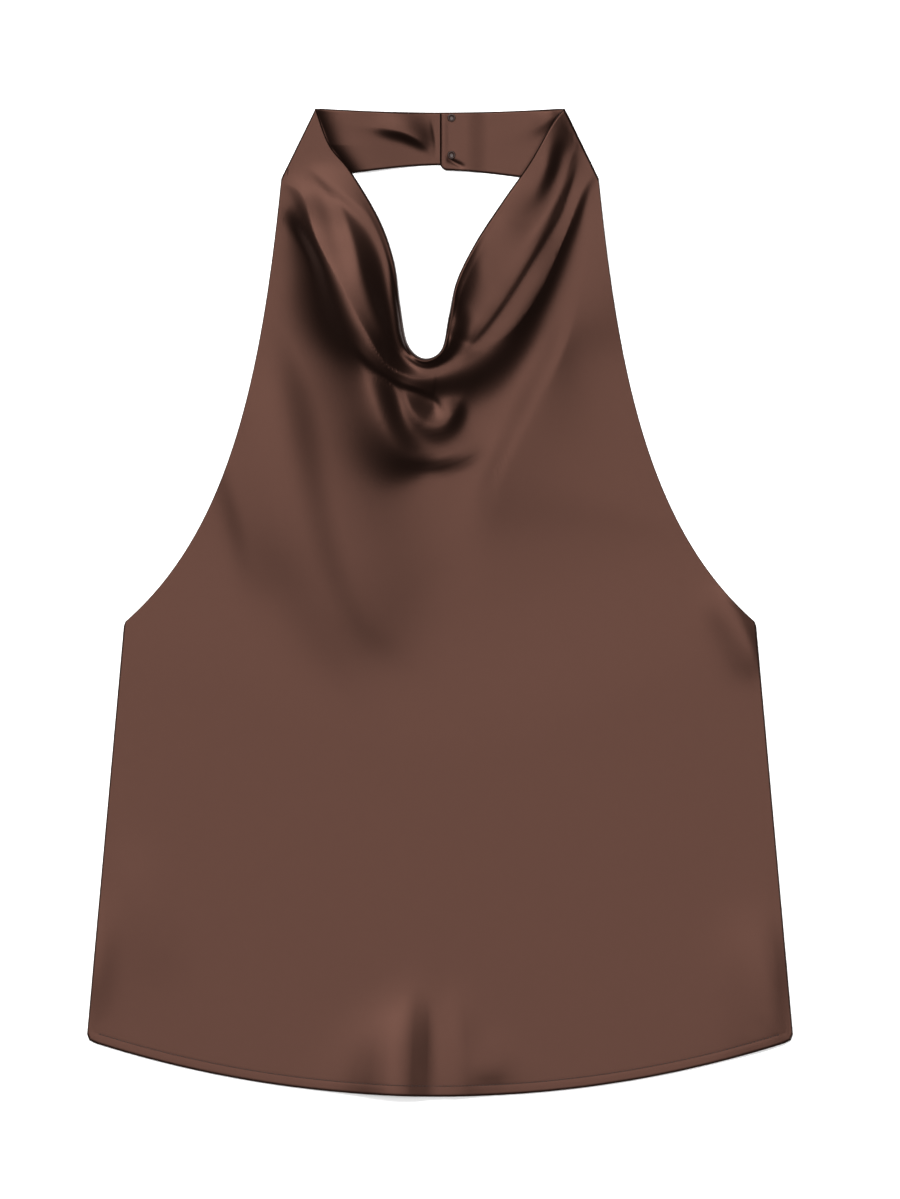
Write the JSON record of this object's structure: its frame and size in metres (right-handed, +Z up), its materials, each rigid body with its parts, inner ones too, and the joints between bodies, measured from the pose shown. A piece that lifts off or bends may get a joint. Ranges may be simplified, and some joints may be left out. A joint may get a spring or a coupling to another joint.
{
  "type": "backless halter top",
  "caption": "Satin halter top with a draped cowl front, a low back panel and a neckband that closes behind the neck with small buttons, laid flat.",
  "frame": {"origin": "on the surface the garment lies on, below the middle of its bounding box", "axes": "+Y from the hem to the neck, +X to the right of somebody looking down on the front, +Z up from the surface"},
  "size_m": [0.48, 0.6721, 0.023],
  "materials": {
    "satin": "soft satin",
    "buttons": "gloss"
  },
  "bodies": {
    "root": {"front_panel": "satin", "back_panel": "satin", "neckband_left": "satin", "neckband_right": "satin", "button_upper": "buttons", "button_lower": "buttons"}
  },
  "joints": []
}
